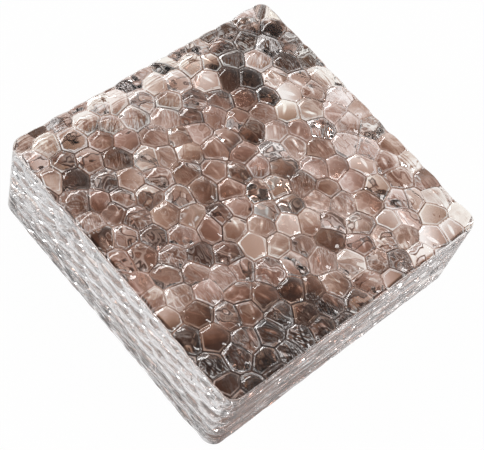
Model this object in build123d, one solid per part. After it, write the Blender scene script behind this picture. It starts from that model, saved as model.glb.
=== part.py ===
from build123d import *

import math
import os
import random

# A solid block of clear cast glass, square, and pebbled on its two broad faces.
# It is one piece. The four sides are flat and smooth, the upright corners are round,
# and each broad face is a field of shallow domes that run out over its rim and leave it
# scalloped. Two domes of the same ball meet in a groove halfway between them, so the
# grooves draw the irregular honeycomb that such glass shows. Where the domes stand
# widest apart, the grooves end in small flats. The block rests on its lower domes.
#
# Millimetres. +Z is up. The origin is under the centre of the block, on the floor,
# and the block lies on its lower pebbled face.

# Block
WIDTH = 150.0  # along X, from side to side
LENGTH = 150.0  # along Y, from side to side
THICKNESS = 50.0  # along Z, over the tops of the domes
CORNER_RADIUS = 6.0  # on the four upright corners

# Domes
DOME_PITCH = 11.2  # from one dome to the next in a row
DOME_STRAY = 2.8  # most that a dome strays from its place in the row, along X and along Y
BALL_RADIUS = 16.0  # of the ball that shapes every dome
GROOVE_DEPTH = 2.29  # from the tops of the domes down to the deepest of the grooves
TOP_SEED = 36  # draws the stray of the domes on the upper face
UNDERSIDE_SEED = 23  # draws the stray of the domes on the lower face

# How far a dome reaches down into the glass below the grooves, so that it joins cleanly
DOME_ROOT = 0.6

# Staggered rows stand closer together than the domes within a row
ROW_PITCH = DOME_PITCH * math.sqrt(3) / 2


def plain_block(height):
    """A plain block as high as asked, with its round upright corners, centred on the origin."""
    block = Box(WIDTH, LENGTH, height)
    return fillet(block.edges().filter_by(Axis.Z), CORNER_RADIUS)


def dome():
    """The part of the ball that stands out of the glass, and its root, with its top at the origin.

    The poles of the ball lie level, so that its seam stays out of the dome.
    """
    ball = Pos(0, 0, -BALL_RADIUS) * Rot(90, 0, 0) * Sphere(BALL_RADIUS)
    slice_size = 2 * BALL_RADIUS
    top = (Align.CENTER, Align.CENTER, Align.MAX)
    return ball & Box(slice_size, slice_size, GROOVE_DEPTH + DOME_ROOT, align=top)


def dome_places(seed):
    """Where the domes of one face are, as {(column, row): (x, y)}.

    The rows are staggered, and every dome strays a little. One more row and column on
    every side reach over the rim, so that the domes run out to the edge of the face.
    """
    draw = random.Random(seed)
    columns = round(WIDTH / DOME_PITCH)
    rows = round(LENGTH / ROW_PITCH)
    places = {}
    for row in range(-1, rows + 1):
        stagger = 0.25 if row % 2 else -0.25
        for column in range(-1, columns + 1):
            x = ((column + 0.5 + stagger) / columns - 0.5) * WIDTH
            y = ((row + 0.5) / rows - 0.5) * LENGTH
            x += draw.uniform(-DOME_STRAY, DOME_STRAY)
            y += draw.uniform(-DOME_STRAY, DOME_STRAY)
            places[column, row] = (x, y)
    return places


def pebble(block, seed, face):
    """Adds the domes of one face, whose plane points out of the glass at the tops of the domes.

    The domes are added in four passes. A pass takes every other dome of every other row,
    so that the domes of one pass stand clear of each other.
    """
    one = dome()
    places = dome_places(seed)
    for pass_column in range(2):
        for pass_row in range(2):
            domes = [
                face * Pos(x, y, 0) * one
                for (column, row), (x, y) in places.items()
                if (column % 2, row % 2) == (pass_column, pass_row)
            ]
            block += domes
    return block


def glass_block():
    """The whole block, pebbled above and below, and cut off flat along its sides."""
    upper = Plane(origin=(0, 0, THICKNESS / 2), z_dir=(0, 0, 1), x_dir=(1, 0, 0))
    lower = Plane(origin=(0, 0, -THICKNESS / 2), z_dir=(0, 0, -1), x_dir=(1, 0, 0))
    block = plain_block(THICKNESS - 2 * GROOVE_DEPTH)
    block = pebble(block, TOP_SEED, upper)
    block = pebble(block, UNDERSIDE_SEED, lower)
    block &= plain_block(THICKNESS + 2 * DOME_ROOT)
    return Pos(0, 0, THICKNESS / 2) * block


os.makedirs("parts", exist_ok=True)
export_step(glass_block(), "parts/glass_block.step", write_pcurves=False)
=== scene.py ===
"""Looks of the solid glass block: pebbled broad faces, soft rims, smooth sides and a plain studio.

Every size is in metres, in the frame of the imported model: +Z is up, and the origin is on the floor
under the centre of the block.
"""

import logging
import math
import random
from dataclasses import dataclass
from enum import Enum
from functools import cached_property
from typing import Any

import bpy
import numpy as np
from mathutils import Matrix, Vector
from mathutils.geometry import delaunay_2d_cdt


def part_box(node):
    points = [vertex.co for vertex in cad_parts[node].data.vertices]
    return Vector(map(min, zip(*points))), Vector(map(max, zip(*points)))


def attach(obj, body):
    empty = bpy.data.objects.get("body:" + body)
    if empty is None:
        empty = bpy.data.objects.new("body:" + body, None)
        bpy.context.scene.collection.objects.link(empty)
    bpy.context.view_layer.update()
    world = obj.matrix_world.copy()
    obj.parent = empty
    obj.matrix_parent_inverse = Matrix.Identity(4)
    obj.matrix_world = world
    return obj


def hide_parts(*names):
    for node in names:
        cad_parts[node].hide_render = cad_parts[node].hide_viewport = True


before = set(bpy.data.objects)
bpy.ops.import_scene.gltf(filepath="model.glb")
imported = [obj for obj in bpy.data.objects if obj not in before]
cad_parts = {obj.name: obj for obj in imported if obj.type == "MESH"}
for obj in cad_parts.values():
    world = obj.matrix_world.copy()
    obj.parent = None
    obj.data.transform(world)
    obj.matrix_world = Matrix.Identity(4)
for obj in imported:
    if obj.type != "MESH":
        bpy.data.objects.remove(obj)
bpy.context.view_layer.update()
LOG = logging.getLogger("glass_block")

BLOCK_NODE = "glass_block"
BODY = "root"
LIGHT_BOUNCES = 24  # enough for light that is mirrored to and fro in the glass
INSIDE_ONLY = 1  # tells the triangulation to leave out what lies outside the outline

Socket = bpy.types.NodeSocket
Colour = tuple[float, float, float, float]
Stops = tuple[tuple[float, Colour], ...]
Triple = tuple[float, float, float]
Point = tuple[float, float]
Range = tuple[float, float, float, float]  # where a change starts and ends, and from what to what it goes


class BroadFace(Enum):
    """The two pebbled faces, each with the way that it points along Z."""

    UPPER = 1
    LOWER = -1


class Mark(Enum):
    """What the mesh of a pebbled face says of its faces and points."""

    TONE = ("cell_tone", "FLOAT", "FACE", 0.5)  # one random number for each dome
    FROM_DOME = ("from_dome", "FLOAT_VECTOR", "POINT", 0.0)  # how far and which way from the dome's centre
    DOME_SIDE = ("dome_side", "FLOAT_VECTOR", "FACE", 0.0)  # which way from the dome's centre
    GROOVE_GAP = ("groove_gap", "FLOAT", "POINT", 1.0)  # how far from the nearest groove

    def __init__(self, title: str, kind: str, domain: str, elsewhere: float) -> None:
        """Keeps how the attribute is stored.

        Args:
            title: Name of the attribute.
            kind: Its data type.
            domain: Whether it is of the faces or of the points.
            elsewhere: Its value on the rims and walls, which have no domes.
        """
        self.title = title
        self.kind = kind
        self.domain = domain
        self.elsewhere = elsewhere
        self.width = 3 if kind == "FLOAT_VECTOR" else 1
        self.field = "vector" if kind == "FLOAT_VECTOR" else "value"


class NodeMaker:
    """Adds nodes to one tree and joins them up."""

    NUMBER_RESULTS = ("DOT_PRODUCT", "LENGTH", "DISTANCE")  # vector operations that give a number

    def __init__(self, tree: bpy.types.NodeTree) -> None:
        """Keeps the tree that the nodes go into."""
        self.tree = tree

    @classmethod
    def emptied(cls, owner: bpy.types.Material | bpy.types.World) -> "NodeMaker":
        """Starts on the tree of a new material or world, without the nodes that come with it.

        Args:
            owner: The material or world.

        Returns:
            What adds nodes to it.
        """
        owner.use_nodes = True
        owner.node_tree.nodes.clear()
        return cls(owner.node_tree)

    def add(self, kind: str, inputs: dict[Any, Any] | None = None, **settings: Any) -> bpy.types.Node:
        """Adds a node, sets its properties and fills its inputs.

        Args:
            kind: Type of the node.
            inputs: A plain value, or the output that feeds it, for each input's name or number.
            settings: Properties of the node itself.

        Returns:
            The new node.
        """
        node = self.tree.nodes.new(kind)
        for name, value in settings.items():
            setattr(node, name, value)
        for key, value in (inputs or {}).items():
            if isinstance(value, Socket):
                self.tree.links.new(value, node.inputs[key])
            else:
                node.inputs[key].default_value = value
        return node

    def math(self, operation: str, *values: Any) -> Socket:
        """The result of an operation on numbers, plain ones or outputs."""
        return self.add("ShaderNodeMath", dict(enumerate(values)), operation=operation).outputs[0]

    def vector(self, operation: str, *values: Any) -> Socket:
        """The result of an operation on vectors, plain ones or outputs."""
        node = self.add("ShaderNodeVectorMath", dict(enumerate(values)), operation=operation)
        return node.outputs["Value" if operation in self.NUMBER_RESULTS else "Vector"]

    def split(self, vector: Socket) -> Any:
        """The parts of a vector, by the names X, Y and Z."""
        return self.add("ShaderNodeSeparateXYZ", {0: vector}).outputs

    def joined(self, **parts: Any) -> Socket:
        """A vector made of its parts X, Y and Z, where those left out are 0."""
        return self.add("ShaderNodeCombineXYZ", parts).outputs[0]

    def noise(self, place: Socket, scale: Any, detail: float) -> Socket:
        """Smooth noise from 0 to 1, mostly near 0.5, with finer layers for more detail."""
        return self.add("ShaderNodeTexNoise", {"Vector": place, "Scale": scale, "Detail": detail}).outputs[0]

    def mix(self, share: Any, first: Any, second: Any, blend: str = "MIX") -> Socket:
        """Two colours in one, by the share of the second."""
        inputs = {0: share, 6: first, 7: second}
        return self.add("ShaderNodeMix", inputs, data_type="RGBA", blend_type=blend).outputs[2]

    def ranged(
        self,
        value: Any,
        start: Any,
        end: Any,
        first: Any = 0.0,
        last: Any = 1.0,
        soft: bool = True,
    ) -> Socket:
        """A number that goes from one value to another and stays there.

        Args:
            value: What it follows.
            start: Where the change starts.
            end: Where it ends.
            first: The number before the start.
            last: The number past the end.
            soft: Whether the change starts and ends softly.

        Returns:
            The number.
        """
        limits = {"Value": value, "From Min": start, "From Max": end, "To Min": first, "To Max": last}
        kind = "SMOOTHSTEP" if soft else "LINEAR"
        return self.add("ShaderNodeMapRange", limits, interpolation_type=kind).outputs[0]


def placed(name: str, data: Any) -> bpy.types.Object:
    """Adds an object to the scene.

    Args:
        name: Its name.
        data: Its mesh, light or camera.

    Returns:
        The new object.
    """
    thing = bpy.data.objects.new(name, data)
    bpy.context.scene.collection.objects.link(thing)
    return thing


def posed(place: Triple, *axes: Vector) -> Matrix:
    """The pose of an object at a place, with its own X, Y and Z along three directions."""
    return Matrix.Translation(place) @ Matrix(axes).transposed().to_4x4()


@dataclass(frozen=True)
class Outline:
    """A rectangle with round corners, run through counter-clockwise."""

    half_width: float
    half_length: float
    corner_radius: float
    steps_along: int = 150
    steps_round: int = 10
    corners: tuple[tuple[int, int], ...] = ((1, 1), (-1, 1), (-1, -1), (1, -1))  # signs of X and Y

    def points(self) -> tuple[np.ndarray, np.ndarray]:
        """Points of the outline and the way out of it at each.

        Returns:
            Two arrays of as many rows, with X and Y in each.
        """
        places, outward = [], []
        middle = np.array([self.half_width, self.half_length]) - self.corner_radius
        for quarter, signs in enumerate(self.corners):
            following = self.corners[(quarter + 1) % len(self.corners)]
            for step in range(self.steps_round + 1):
                angle = (quarter + step / self.steps_round) * math.pi / 2
                normal = np.array([math.cos(angle), math.sin(angle)])
                places.append(middle * signs + self.corner_radius * normal)
                outward.append(normal)
            start = places[-1]
            end = middle * following + self.corner_radius * outward[-1]
            for step in range(1, self.steps_along):
                places.append(start + (end - start) * step / self.steps_along)
                outward.append(outward[-1])
        return np.array(places), np.array(outward)

    def depth_of(self, points: np.ndarray) -> np.ndarray:
        """How far inside the outline points lie.

        Args:
            points: An array of rows of X and Y.

        Returns:
            A distance for each point, negative outside.
        """
        beyond = np.abs(points) - (np.array([self.half_width, self.half_length]) - self.corner_radius)
        outside = np.linalg.norm(np.maximum(beyond, 0), axis=1)
        return self.corner_radius - outside - np.minimum(beyond.max(axis=1), 0)


@dataclass(frozen=True)
class DomeField:
    """The ball domes of one broad face, drawn as the solid model draws them."""

    face: BroadFace
    seed: int
    width: float
    length: float
    pitch: float = 0.0112
    stray: float = 0.0028
    depth: float = 0.00229
    ball_radius: float = 0.016
    stagger: float = 0.25  # of odd rows one way and of even rows the other way, in pitches
    neighbours: float = 4.0  # how far off a dome can be that shares a groove, in pitches
    batch: int = 4000  # how many points are measured in one go

    @cached_property
    def places(self) -> np.ndarray:
        """Centres of the domes, in staggered rows that every dome strays from.

        Returns:
            An array of rows of X and Y.
        """
        draw = random.Random(self.seed)
        columns = round(self.width / self.pitch)
        rows = round(self.length / (self.pitch * math.sqrt(3) / 2))
        found = []
        for row in range(-1, rows + 1):
            shift = self.stagger if row % 2 else -self.stagger
            for column in range(-1, columns + 1):
                x = ((column + 0.5 + shift) / columns - 0.5) * self.width
                y = ((row + 0.5) / rows - 0.5) * self.length
                x += draw.uniform(-self.stray, self.stray)
                y += draw.uniform(-self.stray, self.stray)
                found.append((x, y * self.face.value))
        return np.array(found)

    @cached_property
    def grooves(self) -> list[tuple[np.ndarray, np.ndarray]]:
        """The straight grooves, in plan, that lie halfway between neighbouring domes.

        Returns:
            Both ends of each groove.
        """
        places = self.places
        reach = 2 * max(self.width, self.length)
        found = []
        for number, dome in enumerate(places):
            square = [(-reach, -reach), (reach, -reach), (reach, reach), (-reach, reach)]
            cell = [(np.array(corner), -1) for corner in square]
            away = np.linalg.norm(places - dome, axis=1)
            near = [int(i) for i in np.argsort(away) if 0 < away[i] < self.neighbours * self.pitch]
            for other in near:
                cell = self.clipped(cell, dome, places[other], other)
            for (start, across), (end, _) in zip(cell, cell[1:] + cell[:1]):
                if across > number:
                    found.append((start, end))
        return found

    @staticmethod
    def clipped(
        cell: list[tuple[np.ndarray, int]], dome: np.ndarray, other: np.ndarray, number: int
    ) -> list[tuple[np.ndarray, int]]:
        """Cuts a dome's cell off halfway to another dome.

        Args:
            cell: Corners of the cell, each with the number of the dome across the edge that starts there.
            dome: The cell's own dome.
            other: The other dome.
            number: The other dome's number.

        Returns:
            The corners that are left, in the same form.
        """
        middle, way = (dome + other) / 2, other - dome
        kept = []
        for (start, across), (end, _) in zip(cell, cell[1:] + cell[:1]):
            past_start = float((start - middle) @ way)
            past_end = float((end - middle) @ way)
            if past_start <= 0:
                kept.append((start, across))
            if past_start * past_end < 0:
                crossing = start + (end - start) * past_start / (past_start - past_end)
                kept.append((crossing, number if past_start <= 0 else across))
        return kept

    def groove_distance(self, points: np.ndarray) -> np.ndarray:
        """How far points lie, in plan, from the nearest groove.

        Args:
            points: An array of rows of X and Y.

        Returns:
            A distance for each point.
        """
        places = self.places
        between = np.linalg.norm(places[:, None] - places[None], axis=2)
        np.fill_diagonal(between, 1.0)
        found = []
        for part in np.array_split(points, max(1, len(points) // self.batch)):
            squares = ((part[:, None] - places[None]) ** 2).sum(axis=2)
            own = squares.argmin(axis=1)
            lead = squares - squares[np.arange(len(part)), own][:, None]
            lead[np.arange(len(part)), own] = np.inf
            found.append((lead / (2 * between[own])).min(axis=1))
        return np.concatenate(found)


class PebbleTree:
    """Geometry nodes that sink the domes into a flat sheet and soften the grooves between them."""

    NOISE_TOP = 0.74  # what the noise of the waves hardly ever passes
    INPUTS = {
        "Sheet": "Geometry",
        "Domes": "Object",
        "Grooves": "Object",
        "Groove Depth": "Float",
        "Ball Radius": "Float",
        "Groove Slope": "Float",
        "Groove Width": "Float",
        "Wave Height": "Float",
        "Wave Length": "Float",
        "Seed": "Int",
        "Glass": "Material",
    }

    def __init__(self) -> None:
        """Builds the tree."""
        self.tree = bpy.data.node_groups.new("pebbled_face", "GeometryNodeTree")
        for name, kind in self.INPUTS.items():
            self.tree.interface.new_socket(name=name, in_out="INPUT", socket_type=f"NodeSocket{kind}")
        self.tree.interface.new_socket(name="Face", in_out="OUTPUT", socket_type="NodeSocketGeometry")
        maker = self.maker = NodeMaker(self.tree)
        given = self.given = maker.add("NodeGroupInput").outputs
        domes = maker.add("GeometryNodeObjectInfo", {"Object": given["Domes"]}).outputs["Geometry"]
        grooves = maker.add("GeometryNodeObjectInfo", {"Object": given["Grooves"]}).outputs["Geometry"]
        dome = maker.add("GeometryNodeProximity", {0: domes}, target_element="POINTS").outputs
        gap = maker.add("GeometryNodeProximity", {0: grooves}, target_element="EDGES").outputs["Distance"]
        here = maker.add("GeometryNodeInputPosition").outputs[0]
        away = maker.vector("SUBTRACT", here, dome["Position"])
        own = maker.add("GeometryNodeSampleNearest", {"Geometry": domes, "Sample Position": here}).outputs[0]
        tone = maker.add("FunctionNodeRandomValue", {"ID": own, "Seed": given["Seed"]}).outputs[1]
        sheet = given["Sheet"]
        for mark, value in (
            (Mark.TONE, tone),
            (Mark.FROM_DOME, away),
            (Mark.DOME_SIDE, maker.vector("NORMALIZE", away)),
            (Mark.GROOVE_GAP, gap),
        ):
            sheet = maker.add(
                "GeometryNodeStoreNamedAttribute",
                {"Geometry": sheet, "Name": mark.title, "Value": value},
                data_type=mark.kind,
                domain=mark.domain,
            ).outputs[0]
        lift = maker.joined(Z=self.height(dome["Distance"], gap))
        for kind, inputs in (
            ("GeometryNodeSetPosition", {"Offset": lift}),
            ("GeometryNodeSetShadeSmooth", {}),
            ("GeometryNodeRealizeInstances", {}),
            ("GeometryNodeSetMaterial", {"Material": given["Glass"]}),
        ):
            sheet = maker.add(kind, {"Geometry": sheet, **inputs}).outputs[0]
        maker.add("NodeGroupOutput", {"Face": sheet})

    def height(self, to_dome: Socket, to_groove: Socket) -> Socket:
        """Height of the glass over the flat sheet, which is never above it.

        Args:
            to_dome: How far it is to the centre of the nearest dome.
            to_groove: How far it is to the nearest groove.

        Returns:
            The height.
        """
        maker, given = self.maker, self.given
        ball, width = given["Ball Radius"], given["Groove Width"]
        square = maker.math("SUBTRACT", maker.math("POWER", ball, 2.0), maker.math("POWER", to_dome, 2.0))
        fall = maker.math("SUBTRACT", ball, maker.math("SQRT", maker.math("MAXIMUM", square, 0.0)))
        fall = maker.math("MINIMUM", fall, given["Groove Depth"])
        within = maker.math("MAXIMUM", maker.math("SUBTRACT", width, to_groove), 0.0)
        bend = maker.math("DIVIDE", given["Groove Slope"], maker.math("MULTIPLY", width, 2.0))
        fill = maker.math("MULTIPLY", maker.math("POWER", within, 2.0), bend)
        scale = maker.math("DIVIDE", 1.0, given["Wave Length"])
        noise = maker.add(
            "ShaderNodeTexNoise", {"W": given["Seed"], "Scale": scale, "Detail": 1.0}, noise_dimensions="4D"
        ).outputs[0]
        wave = maker.math("SUBTRACT", noise, self.NOISE_TOP)
        wave = maker.math("MULTIPLY", wave, given["Wave Height"])
        level = maker.math("SUBTRACT", fill, fall)
        return maker.math("MINIMUM", maker.math("ADD", level, wave), 0.0)

    def applied(self, sheet: bpy.types.Object, values: dict[str, Any]) -> bpy.types.Mesh:
        """Runs the tree on an object.

        Args:
            sheet: The object, which loses its modifier again.
            values: The tree's inputs by name.

        Returns:
            The result as a plain mesh.
        """
        modifier = sheet.modifiers.new("pebble", "NODES")
        modifier.node_group = self.tree
        for item in self.tree.interface.items_tree:
            if item.in_out == "INPUT" and item.name in values:
                modifier[item.identifier] = values[item.name]
        graph = bpy.context.evaluated_depsgraph_get()
        mesh = bpy.data.meshes.new_from_object(
            sheet.evaluated_get(graph), preserve_all_data_layers=True, depsgraph=graph
        )
        sheet.modifiers.remove(modifier)
        return mesh


@dataclass(frozen=True)
class PebbledSheet:
    """One pebbled face as a mesh, fine along its grooves and coarse inside its domes."""

    domes: DomeField
    outline: Outline
    wave_height: float
    groove_width: float = 0.0004  # from the bottom of a groove to where the ball begins
    wave_length: float = 0.005
    groove_step: float = 0.001
    groove_offsets: tuple[float, ...] = (0.00022, 0.00045, 0.00085)
    dome_step: float = 0.0014
    margin: float = 0.0003  # between the outline and the first point inside it
    shortest_groove: float = 0.25  # that gets points beside it, in groove steps
    beside_share: float = 0.9  # of its offset that a point beside a groove keeps from every groove
    dome_clear: float = 0.4  # between points in a dome and the lines round it, in dome steps
    key_digits: int = 7  # of a place in metres, by which points are told apart
    merge_gap: float = 1e-8  # below which two points become one

    def groove_points(self) -> tuple[np.ndarray, list[tuple[int, int]]]:
        """Points along the grooves, and the steps that join them.

        Returns:
            An array of rows of X and Y, and pairs of numbers in it.
        """
        numbers: dict[Point, int] = {}
        steps = []
        for start, end in self.domes.grooves:
            count = max(1, round(float(np.linalg.norm(end - start)) / self.groove_step))
            line = start + (end - start) * np.linspace(0, 1, count + 1)[:, None]
            inside = self.outline.depth_of(line) > self.margin
            last = None
            for place, kept in zip(line, inside):
                key = (round(float(place[0]), self.key_digits), round(float(place[1]), self.key_digits))
                number = numbers.setdefault(key, len(numbers)) if kept else None
                if None not in (last, number) and last != number:
                    steps.append((last, number))
                last = number
        return np.array(list(numbers)), steps

    def beside_grooves(self) -> np.ndarray:
        """Points in lines along both sides of every groove.

        Returns:
            An array of rows of X and Y.
        """
        lines, across = [], []
        for start, end in self.domes.grooves:
            length = float(np.linalg.norm(end - start))
            if length < self.shortest_groove * self.groove_step:
                continue
            count = max(1, round(length / self.groove_step))
            lines.append(start + (end - start) * ((np.arange(count) + 0.5) / count)[:, None])
            across += [np.array([start[1] - end[1], end[0] - start[0]]) / length] * count
        middle, found = np.concatenate(lines), []
        for offset in self.groove_offsets:
            for side in (-offset, offset):
                points = middle + np.array(across) * side
                points = points[self.outline.depth_of(points) > self.margin]
                found.append(points[self.domes.groove_distance(points) > self.beside_share * offset])
        return np.concatenate(found)

    def within_domes(self) -> np.ndarray:
        """Evenly spread points in the domes, clear of the lines beside the grooves.

        Returns:
            An array of rows of X and Y.
        """
        step = self.dome_step
        rows = int(2 * self.outline.half_length / (step * math.sqrt(3) / 2))
        columns = int(2 * self.outline.half_width / step)
        grid = np.array(
            [
                ((column + 0.5 * (row % 2) - columns / 2) * step, (row - rows / 2) * step * math.sqrt(3) / 2)
                for row in range(rows + 1)
                for column in range(columns + 1)
            ]
        )
        clear = self.dome_clear * step
        grid = grid[self.outline.depth_of(grid) > self.margin + clear]
        return grid[self.domes.groove_distance(grid) > self.groove_offsets[-1] + clear]

    def flat_mesh(self) -> bpy.types.Mesh:
        """The sheet before it is pebbled. Its first points are those of the outline, in order.

        Returns:
            A mesh of triangles that face up.
        """
        border = self.outline.points()[0]
        groove, steps = self.groove_points()
        points = np.concatenate([border, groove, self.beside_grooves(), self.within_domes()])
        edges = [(i, (i + 1) % len(border)) for i in range(len(border))]
        edges += [(a + len(border), b + len(border)) for a, b in steps]
        corners = [Vector(p) for p in points.tolist()]
        places, _, faces, *_ = delaunay_2d_cdt(corners, edges, [], INSIDE_ONLY, self.merge_gap)
        mesh = bpy.data.meshes.new("flat_sheet")
        mesh.from_pydata([(*p, 0.0) for p in places], [], faces)
        return mesh

    def build(self, tree: PebbleTree, glass: bpy.types.Material) -> bpy.types.Mesh:
        """The pebbled sheet, as if the tops of its domes were at Z = 0 and it faced up.

        Args:
            tree: The rule that pebbles it.
            glass: Its material.

        Returns:
            A plain mesh, with the points of the outline first.
        """
        domes = bpy.data.meshes.new("domes")
        domes.from_pydata([(*p, 0.0) for p in self.domes.places.tolist()], [], [])
        ends = [(*p, 0.0) for groove in self.domes.grooves for p in np.array(groove).tolist()]
        grooves = bpy.data.meshes.new("grooves")
        grooves.from_pydata(ends, [(i, i + 1) for i in range(0, len(ends), 2)], [])
        helpers = [placed(m.name, m) for m in (self.flat_mesh(), domes, grooves)]
        mesh = tree.applied(
            helpers[0],
            {
                "Domes": helpers[1],
                "Grooves": helpers[2],
                "Groove Depth": self.domes.depth,
                "Ball Radius": self.domes.ball_radius,
                "Groove Slope": math.tan(math.asin(self.domes.pitch / 2 / self.domes.ball_radius)),
                "Groove Width": self.groove_width,
                "Wave Height": self.wave_height,
                "Wave Length": self.wave_length,
                "Seed": self.domes.seed,
                "Glass": glass,
            },
        )
        for helper in helpers:
            flat = helper.data
            bpy.data.objects.remove(helper)
            bpy.data.meshes.remove(flat)
        return mesh


class Draw(Enum):
    """Random numbers of a dome, each with the factor that draws it from the dome's own number."""

    FACET_SHOWN = 29.0
    HUE = 41.0
    RARE = 59.0
    STARK = 67.0
    FACET_PLACE = 83.0
    TURN = 97.0
    FIBRE_SHARE = 173.0


@dataclass(frozen=True)
class Patch:
    """A soft round patch of painted shade or painted light on the broad faces, where the glass is drawn
    darker or paler.
    """

    x: float
    y: float
    radius: float
    change: float  # of the tone, below 0 for darker


@dataclass(frozen=True)
class Band:
    """A painted reflection: a pale band along one edge of the broad faces, with fine lines along it."""

    axis: str
    start: float
    end: float  # where it is palest
    line_scale: Triple


@dataclass(frozen=True)
class Gaps:
    """How a line comes and goes over a face."""

    size: float  # of the noise that it follows
    detail: float  # finer layers of that noise
    share: Range  # how far the line shows, over the noise


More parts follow.
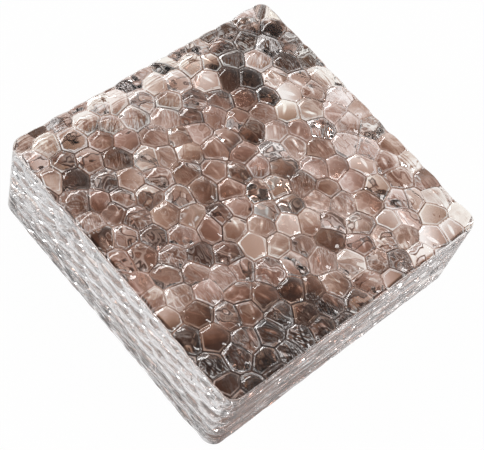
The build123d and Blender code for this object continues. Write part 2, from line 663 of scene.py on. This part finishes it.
@dataclass
class Tinge:
    """Shader nodes for the rose-brown tinge, which differs from dome to dome and within each, with painted
    highlights, painted reflections and painted shade drawn into it.
    """

    stops: Stops = (
        (0.00, (0.012, 0.0035, 0.0015, 1.0)),
        (0.12, (0.050, 0.016, 0.007, 1.0)),
        (0.28, (0.130, 0.052, 0.029, 1.0)),
        (0.50, (0.255, 0.128, 0.090, 1.0)),
        (0.75, (0.530, 0.370, 0.315, 1.0)),
        (1.00, (0.980, 0.945, 0.930, 1.0)),
    )
    hues: Stops = (
        (0.00, (1.00, 0.92, 0.92, 1.0)),
        (0.40, (1.00, 0.97, 0.95, 1.0)),
        (0.70, (0.97, 0.98, 0.95, 1.0)),
        (1.00, (1.00, 0.96, 0.87, 1.0)),
    )
    shade_and_light_patches: tuple[Patch, ...] = (
        # painted shade where the change is below 0, painted light where it is above
        Patch(-0.053, 0.050, 0.028, -1.30),
        Patch(-0.043, 0.034, 0.020, -0.50),
        Patch(0.066, -0.066, 0.042, -0.62),
        Patch(0.074, -0.024, 0.038, -0.60),
        Patch(0.058, 0.060, 0.060, 0.14),
        Patch(-0.056, -0.056, 0.042, -0.20),
        Patch(0.005, 0.000, 0.042, -0.03),
    )
    stark: Patch = Patch(-0.050, 0.052, 0.036, 3.2)  # painted light and shade, where domes differ most
    patch_core: float = 0.2  # share of a patch's radius within which it is strongest
    reflection_bands: tuple[Band, ...] = (
        Band("X", -0.060, -0.071, (1300.0, 90.0, 0.0)),
        Band("Y", 0.064, 0.072, (90.0, 1300.0, 0.0)),
    )
    band_contrast: float = 3.2  # of the lines in a band
    band_level: float = -0.9  # change of tone in their darkest places
    edge_start: float = 0.0727  # where the painted shade line along the edges towards +X and -Y begins
    edge_end: float = 0.0740
    half_pitch: float = 0.0056
    lit_way: Triple = (-0.95, -0.31, 0.0)  # painted light: the side of every dome that is drawn palest, as if lit from there
    lean_factor: float = 150.0  # draws the direction in which a dome's tone leans, in radians
    rare_share: float = 0.1  # of the domes that are paler than others
    turn_range: float = 1.8  # of the directions of fibres and facets, in radians
    fibre_scale: Triple = (170.0, 1100.0, 0.0)  # fibres lie along X, more or less
    fibre_factor: float = 300.0  # draws the fibres of a dome
    fibre_fineness: float = 14.0  # of the lines among the fibres
    line_fineness: float = 11.0  # of the winding lines
    facet_scale: Triple = (240.0, 900.0, 0.0)  # painted glints lie along X, more or less
    facet_stray: float = 0.0026  # most that a painted glint lies beside the middle of its dome
    facet_share: Range = (-0.05, 0.05, 0.35, 1.0)  # how far the painted glints show, over the sum of X and Y
    facet_gaps: float = 0.4  # share of the domes that have no painted glint
    groove_shade_reach: float = 0.6  # of a painted shade line from the middle of its groove, in groove widths
    groove_shade_gaps: Gaps = Gaps(0.012, 1.0, (-0.05, 0.09, 0.05, 1.0))
    highlight_reach: float = 0.65  # of a painted highlight line to each side, in groove widths
    highlight_gaps: Gaps = Gaps(0.009, 1.0, (-0.18, 0.09, 0.05, 1.0))
    highlight_sides: Range = (-0.8, 0.4, 0.5, 1.0)  # how far painted highlight lines show, from the shaded side of a dome on
    ring_place: float = 0.0013  # from a groove to the fine painted highlight line beside it
    ring_reach: float = 0.00028  # of that line to each side
    ring_gaps: Gaps = Gaps(0.006, 0.0, (0.0, 0.16, 0.0, 1.0))
    inputs: tuple[str, ...] = (
        "Middle", "Spread", "Rare", "Lean", "Shade", "Cloud", "Cloud Size", "Fibre", "Facet", "Lines",
        "Line Size", "Pale Line", "Dark Line", "Inner Line", "Groove Width", "Band", "Edge", "Patch",
        "Shift X", "Shift Y",
    )

    def __post_init__(self) -> None:
        """Starts the group, and reads where each point is on its face and in its dome."""
        self.tree = bpy.data.node_groups.new("glass_tinge", "ShaderNodeTree")
        for name in self.inputs:
            self.tree.interface.new_socket(name=name, in_out="INPUT", socket_type="NodeSocketFloat")
        self.tree.interface.new_socket(name="Color", in_out="OUTPUT", socket_type="NodeSocketColor")
        maker = self.maker = NodeMaker(self.tree)
        self.given = maker.add("NodeGroupInput").outputs
        self.tone = self.read(Mark.TONE)
        self.gap = self.read(Mark.GROOVE_GAP)
        self.away = self.read(Mark.FROM_DOME)
        self.place = maker.add("ShaderNodeTexCoord").outputs["Object"]
        shift = maker.joined(X=self.given["Shift X"], Y=self.given["Shift Y"])
        self.moved = maker.vector("MULTIPLY", maker.vector("SUBTRACT", self.place, shift), (1.0, 1.0, 0.0))
        turn = maker.math("MULTIPLY_ADD", self.draw(Draw.TURN), self.turn_range, -self.turn_range / 2)
        self.turned = maker.add(
            "ShaderNodeVectorRotate", {"Vector": self.away, "Angle": turn}, rotation_type="Z_AXIS"
        ).outputs[0]

    def build(self) -> bpy.types.ShaderNodeTree:
        """Builds the group.

        Returns:
            The group, whose only output is the colour.
        """
        maker, given = self.maker, self.given
        odd = maker.math("POWER", maker.math("MULTIPLY_ADD", self.tone, 2.0, -1.0), 3.0)
        rare = maker.math("GREATER_THAN", self.draw(Draw.RARE), 1.0 - self.rare_share)
        winding = self.thread(self.noise(given["Line Size"], 1.0), self.line_fineness)
        fibre, threads = self.fibres()
        other = maker.math("SUBTRACT", self.draw(Draw.STARK), 0.5)
        value = given["Middle"]
        for change, amount in (
            (odd, given["Spread"]),
            (rare, given["Rare"]),
            (self.along(self.lean_way()), given["Lean"]),
            # painted light and shade: paler towards the lit side of every dome
            (self.along(self.lit_way), given["Shade"]),
            (self.noise(given["Cloud Size"], 2.0), given["Cloud"]),
            (winding, given["Lines"]),
            (fibre, given["Fibre"]),
            (self.painted_glints(), given["Facet"]),
            (self.banded(), given["Band"]),
            (self.edges(), given["Edge"]),
            (self.groove_shade_lines(), -1.0),
            (self.patched(self.shade_and_light_patches), given["Patch"]),
            (maker.math("MULTIPLY", self.patched((self.stark,)), other), given["Patch"]),
        ):
            value = maker.math("MULTIPLY_ADD", change, amount, value)
        hue = self.ramp(self.draw(Draw.HUE), self.hues)
        colour = maker.mix(1.0, self.ramp(value, self.stops), hue, "MULTIPLY")
        # painted highlights: the lines where the glass turns clear
        inner = maker.math("MULTIPLY", threads, given["Inner Line"])
        pale = maker.math("MAXIMUM", self.highlight_lines(), inner)
        clear = self.stops[-1][1]
        maker.add("NodeGroupOutput", {"Color": maker.mix(pale, colour, clear)})
        return self.tree

    def read(self, mark: Mark) -> Socket:
        """What the mesh says of the point."""
        node = self.maker.add("ShaderNodeAttribute", attribute_name=mark.title)
        return node.outputs["Vector" if mark.width == 3 else "Fac"]

    def draw(self, which: Draw) -> Socket:
        """A random number of the dome, from 0 to 1."""
        return self.maker.math("FRACT", self.maker.math("MULTIPLY", self.tone, which.value))

    def noise(self, size: Any, detail: float) -> Socket:
        """Smooth noise of a size, from -0.5 to 0.5, with finer layers for more detail."""
        noise = self.maker.noise(self.place, self.maker.math("DIVIDE", 1.0, size), detail)
        return self.maker.math("SUBTRACT", noise, 0.5)

    def thread(self, noise: Socket, fineness: float) -> Socket:
        """Fine lines where a noise crosses 0, as a number from 0 to 1."""
        near = self.maker.math("MULTIPLY_ADD", self.maker.math("ABSOLUTE", noise), -fineness, 1.0)
        return self.maker.math("POWER", self.maker.math("MAXIMUM", near, 0.0), 2.0)

    def falling(self, gap: Socket, width: Any, height: Any) -> Socket:
        """A value that is highest on a line and falls to 0 as far from it as the width."""
        return self.maker.ranged(gap, 0.0, width, height, 0.0)

    def beside(self, distance: Any) -> Socket:
        """How far the point is from the line that lies at a distance from the groove."""
        return self.maker.math("ABSOLUTE", self.maker.math("SUBTRACT", self.gap, distance))

    def shown(self, gaps: Gaps) -> Socket:
        """How far a line shows where the point is, from 0 to 1."""
        return self.maker.ranged(self.noise(gaps.size, gaps.detail), *gaps.share)

    def along(self, way: Any) -> Socket:
        """How far across its dome a point lies in a direction, from -1 to 1, nearly."""
        return self.maker.math("DIVIDE", self.maker.vector("DOT_PRODUCT", self.away, way), self.half_pitch)

    def lean_way(self) -> Socket:
        """The direction in which the tone of the dome leans."""
        turn = self.maker.math("MULTIPLY", self.tone, self.lean_factor)
        return self.maker.joined(X=self.maker.math("COSINE", turn), Y=self.maker.math("SINE", turn))

    def fibres(self) -> tuple[Socket, Socket]:
        """Streaks across a dome, strong in some of the domes only.

        Returns:
            The streaks, about 0, and fine lines among them, from 0 to 1, which are drawn as painted
            highlights.
        """
        maker = self.maker
        drawn = maker.vector("MULTIPLY", self.turned, self.fibre_scale)
        number = maker.math("MULTIPLY", self.tone, self.fibre_factor)
        noise = maker.add(
            "ShaderNodeTexNoise",
            {"Vector": drawn, "W": number, "Scale": 1.0, "Detail": 2.0},
            noise_dimensions="4D",
        ).outputs[0]
        noise = maker.math("SUBTRACT", noise, 0.5)
        share = maker.math("POWER", self.draw(Draw.FIBRE_SHARE), 3.0)
        fine = maker.math("MULTIPLY", self.thread(noise, self.fibre_fineness), share)
        return maker.math("MULTIPLY", noise, share), fine

    def painted_glints(self) -> Socket:
        """A painted glint: a long pale streak beside the middle of most domes, stronger towards +X and +Y.

        Returns:
            A number from 0 to 1.
        """
        maker = self.maker
        stray = self.facet_stray
        beside = maker.math("MULTIPLY_ADD", self.draw(Draw.FACET_PLACE), 2.0 * stray, -stray)
        away = maker.vector("SUBTRACT", self.turned, maker.joined(Y=beside))
        length = maker.vector("LENGTH", maker.vector("MULTIPLY", away, self.facet_scale))
        across = maker.vector("DOT_PRODUCT", self.place, (1.0, 1.0, 0.0))
        share = maker.ranged(across, *self.facet_share, soft=False)
        has_one = maker.math("GREATER_THAN", self.draw(Draw.FACET_SHOWN), self.facet_gaps)
        return self.falling(length, 1.0, maker.math("MULTIPLY", share, has_one))

    def groove_shade_lines(self) -> Socket:
        """Painted shade: dark lines in the grooves, that come and go.

        Returns:
            How much deeper the tone is there.
        """
        width = self.maker.math("MULTIPLY", self.given["Groove Width"], self.groove_shade_reach)
        line = self.falling(self.gap, width, self.given["Dark Line"])
        return self.maker.math("MULTIPLY", line, self.shown(self.groove_shade_gaps))

    def highlight_lines(self) -> Socket:
        """Painted highlights: pale lines along both sides of the grooves, and finer ones further in, that
        come and go.

        Returns:
            How clear the glass is there, from 0 to 1.
        """
        maker, given = self.maker, self.given
        facing = maker.vector("DOT_PRODUCT", self.read(Mark.DOME_SIDE), self.lit_way)
        width = given["Groove Width"]
        reach = maker.math("MULTIPLY", width, self.highlight_reach)
        line = self.falling(self.beside(width), reach, given["Pale Line"])
        line = maker.math("MULTIPLY", line, maker.ranged(facing, *self.highlight_sides, soft=False))
        line = maker.math("MULTIPLY", line, self.shown(self.highlight_gaps))
        ring = self.falling(self.beside(self.ring_place), self.ring_reach, given["Inner Line"])
        return maker.math("MAXIMUM", line, maker.math("MULTIPLY", ring, self.shown(self.ring_gaps)))

    def banded(self) -> Any:
        """The painted reflection bands, pale and with lines in them.

        Returns:
            A number that is 0 away from the bands.
        """
        maker = self.maker
        across = maker.split(self.place)
        total: Any = 0.0
        for band in self.reflection_bands:
            mask = maker.ranged(across[band.axis], band.start, band.end)
            lines = maker.noise(maker.vector("MULTIPLY", self.place, band.line_scale), 1.0, 1.0)
            lines = maker.math("MULTIPLY_ADD", lines, self.band_contrast, self.band_level)
            total = maker.math("ADD", total, maker.math("MULTIPLY", mask, lines))
        return total

    def edges(self) -> Socket:
        """Painted shade: a dark line just inside the edges of the face towards +X and -Y.

        Returns:
            A number from -1 to 0.
        """
        across = self.maker.split(self.place)
        out = self.maker.math("MAXIMUM", across["X"], self.maker.math("MULTIPLY", across["Y"], -1.0))
        return self.maker.ranged(out, self.edge_start, self.edge_end, 0.0, -1.0)

    def patched(self, shade_and_light_patches: tuple[Patch, ...]) -> Any:
        """Adds up soft patches of painted shade or painted light.

        Args:
            shade_and_light_patches: The patches.

        Returns:
            How much they change the tone.
        """
        total: Any = 0.0
        for patch in shade_and_light_patches:
            away = self.maker.vector("DISTANCE", self.moved, (patch.x, patch.y, 0.0))
            core = self.patch_core * patch.radius
            change = self.maker.ranged(away, core, patch.radius, patch.change, 0.0)
            total = self.maker.math("ADD", total, change)
        return total

    def ramp(self, value: Socket, stops: Stops) -> Socket:
        """Turns a number into a colour.

        Args:
            value: The number, from 0 to 1.
            stops: The colours and the numbers they are at.

        Returns:
            The colour.
        """
        node = self.maker.add("ShaderNodeValToRGB", {0: value})
        while len(node.color_ramp.elements) < len(stops):
            node.color_ramp.elements.new(1.0)
        for element, (position, colour) in zip(node.color_ramp.elements, stops):
            element.position = position
            element.color = colour
        return node.outputs[0]


@dataclass(frozen=True)
class ClearGlass:
    """The solid glass that every finish of the block is made of."""

    ior: float = 1.52
    roughness: float = 0.0

    def shade(self, maker: NodeMaker, inputs: dict[str, Socket]) -> None:
        """Ends a material with the shader of this glass.

        Args:
            maker: What adds the nodes.
            inputs: What the finish feeds into the shader.
        """
        plain = {"Roughness": self.roughness, "IOR": self.ior, "Transmission Weight": 1.0}
        shader = maker.add("ShaderNodeBsdfPrincipled", {**plain, **inputs})
        maker.add("ShaderNodeOutputMaterial", {"Surface": shader.outputs[0]})


@dataclass(frozen=True)
class PebbledGlass:
    """Finish of a broad face: clear glass with the rose-brown tinge, and painted light and shade in it."""

    name: str
    middle: float  # tone of most domes, from 0 for deep brown to 1 for clear
    spread: float  # how far the palest and the deepest dome are from that
    rare: float  # how much paler one dome in ten is
    lean: float  # change of tone from the middle of a dome to its edge, in a direction of its own
    shade: float  # painted shade: the same towards the lit side, which is palest in every dome
    cloud: float  # change of tone over the clouds
    fibre: float  # change of tone over the streaks in a dome
    facet: float  # painted highlight: how much clearer the glass is in the glints
    lines: float  # how much clearer the glass is along fine winding lines
    pale_line: float  # painted highlight: how clear the glass is on both sides of a groove
    dark_line: float  # painted shade: how much deeper the tone is in the middle of a groove
    inner_line: float  # painted highlight: how clear the fine lines in the domes are
    groove_width: float  # from the middle of a groove to the painted highlight line beside it
    band: float  # painted reflection: how much paler the glass is along two edges
    patch: float  # share of the patches of painted shade and painted light
    edge: float = 0.0  # painted shade: how much deeper the tone is along the two other edges
    cloud_size: float = 0.02
    line_size: float = 0.008
    shift_x: float = 0.0  # of the patches
    shift_y: float = 0.0
    glass: ClearGlass = ClearGlass()

    def material(self, tinge: bpy.types.ShaderNodeTree) -> bpy.types.Material:
        """Builds the material.

        Args:
            tinge: Shader nodes of the tinge.

        Returns:
            The new material.
        """
        material = bpy.data.materials.new(self.name)
        maker = NodeMaker.emptied(material)
        group = maker.add("ShaderNodeGroup", node_tree=tinge)
        for socket in group.inputs:
            socket.default_value = getattr(self, socket.name.lower().replace(" ", "_"))
        self.glass.shade(maker, {"Base Color": group.outputs["Color"]})
        return material


@dataclass(frozen=True)
class SmoothGlass:
    """Finish of the sides and rims: clear glass, drawn in fine streaks along the sides, with painted shade
    in brown streaks and dark dashes.
    """

    clear: Colour = (0.99, 0.985, 0.995, 1.0)
    brown: Colour = (0.080, 0.028, 0.016, 1.0)  # painted shade, in the streaks on the sides towards +X and -X
    dash_shade: Colour = (0.008, 0.005, 0.004, 1.0)  # painted shade, of the dashes on the two other sides
    broad_scale: Point = (32.0, 230.0)  # of streaks, along a side and up it
    fine_scale: Point = (55.0, 640.0)
    fine_share: float = 0.6  # of the fine streaks in all streaks
    brown_near: Range = (-0.06, 0.07, 0.07, -0.05)  # what is added to the streaks, over Y, for deeper painted shade towards -Y
    brown_share: Range = (0.45, 0.56, 0.12, 1.0)  # how brown the painted shade makes the glass, over the streaks
    dash_scale: Point = (115.0, 1350.0)
    dash_low: Range = (0.008, 0.032, 0.08, -0.07)  # what is added to the dashes, over the height, for more of them low down
    dash_share: Range = (0.59, 0.605, 0.0, 1.0)
    warp_scale: Point = (14.0, 60.0)
    warp: float = 5.0  # how far the steps wander, in steps
    step_count: float = 420.0  # in a metre of height
    step_depth: float = 0.00045  # of the small steps on the side towards +X
    streak_height: float = 0.000012
    glass: ClearGlass = ClearGlass()

    @staticmethod
    def streaks(maker: NodeMaker, place: Any, scale: Point) -> Socket:
        """Noise drawn out along the sides.

        Args:
            maker: What adds the nodes.
            place: Where the point is, as X, Y and Z.
            scale: How fine the noise is along a side and up it.

        Returns:
            A number from 0 to 1, mostly near 0.5.
        """
        along = maker.math("MULTIPLY", maker.math("ADD", place["X"], place["Y"]), scale[0])
        up = maker.math("MULTIPLY", place["Z"], scale[1])
        return maker.noise(maker.joined(X=along, Y=up), 1.0, 2.0)

    def colour(self, maker: NodeMaker, place: Any, normal: Any, streak: Socket) -> Socket:
        """Painted shade: brown streaks on two sides, deeper towards -Y, and dark dashes on the two others,
        more of them low down.

        Args:
            maker: What adds the nodes.
            place: Where the point is, as X, Y and Z.
            normal: Which way the side faces, as X, Y and Z.
            streak: The streaks.

        Returns:
            The colour.
        """
        facing = maker.math("ABSOLUTE", normal["X"])
        near = maker.ranged(place["Y"], *self.brown_near)
        share = maker.ranged(maker.math("ADD", streak, near), *self.brown_share)
        streaked = maker.mix(maker.math("MULTIPLY", facing, share), self.clear, self.brown)
        low = maker.ranged(place["Z"], *self.dash_low)
        dash = maker.math("ADD", self.streaks(maker, place, self.dash_scale), low)
        dashes = maker.ranged(dash, *self.dash_share)
        dashes = maker.math("MULTIPLY", dashes, maker.math("SUBTRACT", 1.0, facing))
        return maker.mix(dashes, streaked, self.dash_shade)

    def relief(self, maker: NodeMaker, place: Any, normal: Any, streak: Socket) -> Socket:
        """Shallow streaks, and small steps on the side towards +X that count from outside only.

        Args:
            maker: What adds the nodes.
            place: Where the point is, as X, Y and Z.
            normal: Which way the side faces, as X, Y and Z.
            streak: The streaks.

        Returns:
            The bumped normal.
        """
        wander = maker.math("MULTIPLY", self.streaks(maker, place, self.warp_scale), self.warp)
        turns = maker.math("MULTIPLY_ADD", place["Z"], self.step_count, wander)
        step = maker.math("SUBTRACT", 1.0, maker.math("FRACT", turns))
        outside = maker.math("SUBTRACT", 1.0, maker.add("ShaderNodeNewGeometry").outputs["Backfacing"])
        stepped = maker.math("MULTIPLY", maker.math("MAXIMUM", normal["X"], 0.0), outside)
        step = maker.math("MULTIPLY", maker.math("MULTIPLY", step, stepped), self.step_depth)
        height = maker.math("MULTIPLY_ADD", streak, self.streak_height, step)
        return maker.add("ShaderNodeBump", {"Height": height, "Distance": 1.0}).outputs[0]

    def material(self) -> bpy.types.Material:
        """Builds the material.

        Returns:
            The new material.
        """
        material = bpy.data.materials.new("smooth_glass")
        maker = NodeMaker.emptied(material)
        coords = maker.add("ShaderNodeTexCoord").outputs
        place, normal = maker.split(coords["Object"]), maker.split(coords["Normal"])
        broad = maker.math("MULTIPLY", self.streaks(maker, place, self.broad_scale), 1.0 - self.fine_share)
        fine = self.streaks(maker, place, self.fine_scale)
        streak = maker.math("MULTIPLY_ADD", fine, self.fine_share, broad)
        inputs = {
            "Base Color": self.colour(maker, place, normal, streak),
            "Normal": self.relief(maker, place, normal, streak),
        }
        self.glass.shade(maker, inputs)
        return material


@dataclass
class Sheet:
    """What is read from the mesh of a pebbled face."""

    points: np.ndarray
    triangles: np.ndarray
    marks: dict[Mark, np.ndarray]

    @classmethod
    def read(cls, mesh: bpy.types.Mesh) -> "Sheet":
        """Takes a mesh apart.

        Args:
            mesh: A mesh of triangles.

        Returns:
            Its points, triangles and attributes.
        """
        points = np.zeros((len(mesh.vertices), 3), np.float32)
        corners = np.zeros((len(mesh.polygons), 3), np.int32)
        mesh.vertices.foreach_get("co", points.ravel())
        mesh.loops.foreach_get("vertex_index", corners.ravel())
        marks = {}
        for mark in Mark:
            count = len(points) if mark.domain == "POINT" else len(corners)
            marks[mark] = np.zeros((count, mark.width), np.float32)
            mesh.attributes[mark.title].data.foreach_get(mark.field, marks[mark].ravel())
        return cls(points, corners, marks)


@dataclass
class GlassBlock:
    """The block: two pebbled sheets, joined by soft rims and smooth walls."""

    low: Vector
    high: Vector
    corner_radius: float = 0.006
    rim_radius: float = 0.0006
    rim_steps: int = 4
    wall_guard: float = 0.0004  # keeps the bend of the rim out of the wall's shading
    upper_wave: float = 0.0008  # height of the fine waves on the domes
    lower_wave: float = 0.0011
    upper_seed: int = 36
    lower_seed: int = 23

    def domes(self, face: BroadFace) -> DomeField:
        """The domes of one face."""
        seed = self.upper_seed if face is BroadFace.UPPER else self.lower_seed
        return DomeField(face, seed, self.high.x - self.low.x, self.high.y - self.low.y)

    def build(
        self, pebbled: dict[BroadFace, bpy.types.Material], smooth: bpy.types.Material
    ) -> bpy.types.Object:
        """Builds the block as one closed mesh.

        Args:
            pebbled: Material of each broad face.
            smooth: Material of the sides and rims.

        Returns:
            The finished object.
        """
        half_width, half_length = self.high.x - self.rim_radius, self.high.y - self.rim_radius
        outline = Outline(half_width, half_length, self.corner_radius - self.rim_radius)
        tree = PebbleTree()
        sheets: dict[BroadFace, Sheet] = {}
        for face in BroadFace:
            wave = self.upper_wave if face is BroadFace.UPPER else self.lower_wave
            pebbles = PebbledSheet(self.domes(face), outline, wave).build(tree, pebbled[face])
            sheets[face] = Sheet.read(pebbles)
            bpy.data.meshes.remove(pebbles)
            level = self.high.z if face is BroadFace.UPPER else self.low.z
            sheets[face].points[:, 2] = sheets[face].points[:, 2] * face.value + level
        upper, lower = sheets[BroadFace.UPPER], sheets[BroadFace.LOWER]
        rings, walls = self.wall(outline, sheets)
        points = np.concatenate([upper.points, lower.points, *rings])
        below = lower.triangles[:, ::-1] + len(upper.points)
        mesh = bpy.data.meshes.new("glass_block")
        mesh.from_pydata(points.tolist(), [], [*upper.triangles.tolist(), *below.tolist(), *walls])
        for material in (pebbled[BroadFace.UPPER], pebbled[BroadFace.LOWER], smooth):
            mesh.materials.append(material)
        counts = (len(upper.triangles), len(lower.triangles), len(walls))
        mesh.polygons.foreach_set("material_index", np.repeat([0, 1, 2], counts))
        mesh.polygons.foreach_set("use_smooth", np.ones(sum(counts), dtype=bool))
        spare = {"POINT": sum(len(ring) for ring in rings), "FACE": len(walls)}
        for mark in Mark:
            rest = np.full((spare[mark.domain], mark.width), mark.elsewhere, np.float32)
            values = np.concatenate([upper.marks[mark], lower.marks[mark], rest])
            layer = mesh.attributes.new(mark.title, mark.kind, mark.domain)
            layer.data.foreach_set(mark.field, values.ravel())
        return placed("pebbled_glass_block", mesh)

    def wall(
        self, outline: Outline, sheets: dict[BroadFace, Sheet]
    ) -> tuple[list[np.ndarray], list[tuple[int, int, int, int]]]:
        """The rims and the walls, as rings of points that follow both scalloped edges.

        Args:
            outline: The edge of both sheets.
            sheets: The two pebbled faces, whose points come before those of the rings.

        Returns:
            The rings between the two edges, and the faces that join them all.
        """
        plan, outward = outline.points()
        count = len(plan)
        rings = []
        for face in BroadFace:
            own = []
            for step in range(1, self.rim_steps + 1):
                turn = step / self.rim_steps * math.pi / 2
                place = plan + outward * self.rim_radius * math.sin(turn)
                height = sheets[face].points[:count, 2] - face.value * self.rim_radius * (1 - math.cos(turn))
                own.append(np.column_stack([place, height]))
            guard = own[-1] - np.array([0.0, 0.0, face.value * self.wall_guard])
            own.append(guard)
            rings += own if face is BroadFace.UPPER else own[::-1]
        lower_start = len(sheets[BroadFace.UPPER].points)
        first = lower_start + len(sheets[BroadFace.LOWER].points)
        ring_starts = [0, *(first + count * i for i in range(len(rings))), lower_start]
        faces = [
            (above + i, below + i, below + (i + 1) % count, above + (i + 1) % count)
            for above, below in zip(ring_starts, ring_starts[1:])
            for i in range(count)
        ]
        return rings, faces

    def dress(self, block: bpy.types.Object) -> None:
        """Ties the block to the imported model.

        Args:
            block: The finished object.
        """
        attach(block, BODY)
        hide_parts(BLOCK_NODE)


@dataclass(frozen=True)
class Lamp:
    """A soft lamp that points at the block."""

    name: str
    place: Triple
    along: Triple  # which way its face is wide
    size: Point  # width and height of its face
    brightness: float  # of its face, where 1 is white paper

    def build(self) -> bpy.types.Object:
        """Builds the lamp.

        Returns:
            The lamp.
        """
        light = bpy.data.lights.new(self.name, "AREA")
        light.shape = "RECTANGLE"
        light.size, light.size_y = self.size
        light.energy = self.brightness * math.pi * self.size[0] * self.size[1]
        lamp = placed(self.name, light)
        back = Vector(self.place).normalized()
        above = back.cross(Vector(self.along)).normalized()
        lamp.matrix_world = posed(self.place, above.cross(back), above, back)
        return lamp


@dataclass
class Studio:
    """A plain pale floor under a soft sky, and lamps."""

    floor_size: float = 12.0
    floor_level: float = -0.0002
    floor_colour: Colour = (0.92, 0.92, 0.92, 1.0)
    background_share: float = 0.98  # how much of the floor's white doesn't depend on the lamps
    bright_way: Triple = (0.25, 0.97, 0.0)  # where the sky is bright
    bright_sky: Colour = (1.0, 0.99, 0.98, 1.0)
    dim_sky: Colour = (0.70, 0.66, 0.65, 1.0)
    bright_share: Range = (-0.35, 0.6, 0.0, 1.0)  # of the bright sky, over how far a way points to it
    sky_level: Range = (0.1, 0.85, 1.0, 0.40)  # how bright the sky is, from the horizon up
    lamps: tuple[Lamp, ...] = (
        Lamp("key_lamp", (0.56, 0.74, 1.31), (0.8, -0.6, 0.0), (0.16, 0.30), 11.0),
        Lamp("strip_lamp", (-1.07, 0.36, 0.97), (0.08, 0.89, -0.45), (1.2, 0.10), 12.0),
        Lamp("left_rim_lamp", (-0.42, -1.26, 0.70), (1.0, 0.0, 0.0), (0.7, 0.4), 6.0),
        Lamp("right_rim_lamp", (1.26, 0.70, 0.42), (0.0, 1.0, 0.0), (0.7, 0.4), 6.0),
    )

    def floor(self) -> bpy.types.Object:
        """Builds the floor.

        Returns:
            The floor.
        """
        half = self.floor_size / 2
        mesh = bpy.data.meshes.new("floor")
        corners = [(-half, -half), (half, -half), (half, half), (-half, half)]
        mesh.from_pydata([(*c, self.floor_level) for c in corners], [], [(0, 1, 2, 3)])
        paint = bpy.data.materials.new("floor_paint")
        maker = NodeMaker.emptied(paint)
        path = maker.add("ShaderNodeLightPath").outputs
        seen = maker.math("MAXIMUM", path["Is Glossy Ray"], path["Is Transmission Ray"])
        seen = maker.math("MAXIMUM", seen, path["Is Camera Ray"])
        share = maker.math("MULTIPLY", seen, self.background_share)
        lit = maker.add("ShaderNodeBsdfDiffuse", {"Color": self.floor_colour})
        white = maker.add("ShaderNodeEmission", {"Strength": 1.0})
        mix = maker.add("ShaderNodeMixShader", {0: share, 1: lit.outputs[0], 2: white.outputs[0]})
        maker.add("ShaderNodeOutputMaterial", {"Surface": mix.outputs[0]})
        mesh.materials.append(paint)
        floor = placed("floor", mesh)
        return floor

    def sky(self) -> None:
        """Lights the studio from all round: pale behind the block, dimmer in front of it and overhead."""
        world = bpy.data.worlds.new("studio")
        maker = NodeMaker.emptied(world)
        way = maker.add("ShaderNodeTexCoord").outputs["Generated"]
        behind = maker.vector("DOT_PRODUCT", way, self.bright_way)
        pale = maker.ranged(behind, *self.bright_share)
        level = maker.ranged(maker.split(way)["Z"], *self.sky_level, soft=False)
        colour = maker.mix(pale, self.dim_sky, self.bright_sky)
        back = maker.add("ShaderNodeBackground", {"Color": colour, "Strength": level})
        maker.add("ShaderNodeOutputWorld", {"Surface": back.outputs[0]})
        bpy.context.scene.world = world

    def build(self) -> None:
        """Builds the floor, the sky and the lamps."""
        self.floor()
        self.sky()
        for lamp in self.lamps:
            lamp.build()


@dataclass(frozen=True)
class Viewpoint:
    """The camera of the photograph, found from the block's edges in it."""

    place: Triple = (0.17228, -0.27945, 0.52888)
    aim: Triple = (0.00598, -0.003, 0.025)
    roll: float = math.radians(21.06)
    lens: float = 98.34  # in millimetres, like the sensor
    sensor: float = 36.0
    nearest: float = 0.01  # how near the camera begins to see

    def build(self) -> bpy.types.Object:
        """Builds the camera and makes it the scene's own.

        Returns:
            The camera.
        """
        data = bpy.data.cameras.new("camera")
        data.sensor_width = self.sensor
        data.lens = self.lens
        data.clip_start = self.nearest
        camera = placed("camera", data)
        ahead = (Vector(self.aim) - Vector(self.place)).normalized()
        level = ahead.cross(Vector((0, 0, 1))).normalized()
        above = level.cross(ahead)
        right = level * math.cos(self.roll) + above * math.sin(self.roll)
        camera.matrix_world = posed(self.place, right, right.cross(ahead), -ahead)
        bpy.context.scene.camera = camera
        return camera


def main() -> None:
    """Builds the camera, the studio and the block."""
    logging.basicConfig(level=logging.INFO, format="%(name)s: %(message)s")
    bpy.context.scene.view_settings.view_transform = "Standard"
    bpy.context.scene.cycles.max_bounces = LIGHT_BOUNCES
    bpy.context.scene.cycles.transmission_bounces = LIGHT_BOUNCES
    Viewpoint().build()
    Studio().build()
    tinge = Tinge().build()
    upper = PebbledGlass(
        "upper_glass", middle=0.48, spread=0.20, rare=0.22, lean=0.22, shade=0.14, cloud=0.45,
        fibre=0.45, facet=0.80, lines=0.0, pale_line=1.0, dark_line=0.55, inner_line=0.6,
        groove_width=0.00070, band=0.9, edge=0.55, patch=0.9,
    )
    lower = PebbledGlass(
        "lower_glass", middle=0.46, spread=0.44, rare=0.20, lean=0.35, shade=0.05, cloud=0.5,
        fibre=0.35, facet=0.45, lines=0.25, pale_line=1.0, dark_line=1.0, inner_line=0.5,
        groove_width=0.00055, band=1.1, patch=0.8, cloud_size=0.014, line_size=0.006,
        shift_x=-0.009, shift_y=0.015,
    )
    finishes = {BroadFace.UPPER: upper.material(tinge), BroadFace.LOWER: lower.material(tinge)}
    glass_block = GlassBlock(*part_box(BLOCK_NODE))
    block = glass_block.build(finishes, SmoothGlass().material())
    glass_block.dress(block)
    LOG.info("%s: %d faces, %d points", block.name, len(block.data.polygons), len(block.data.vertices))


if __name__ == "__main__":
    main()
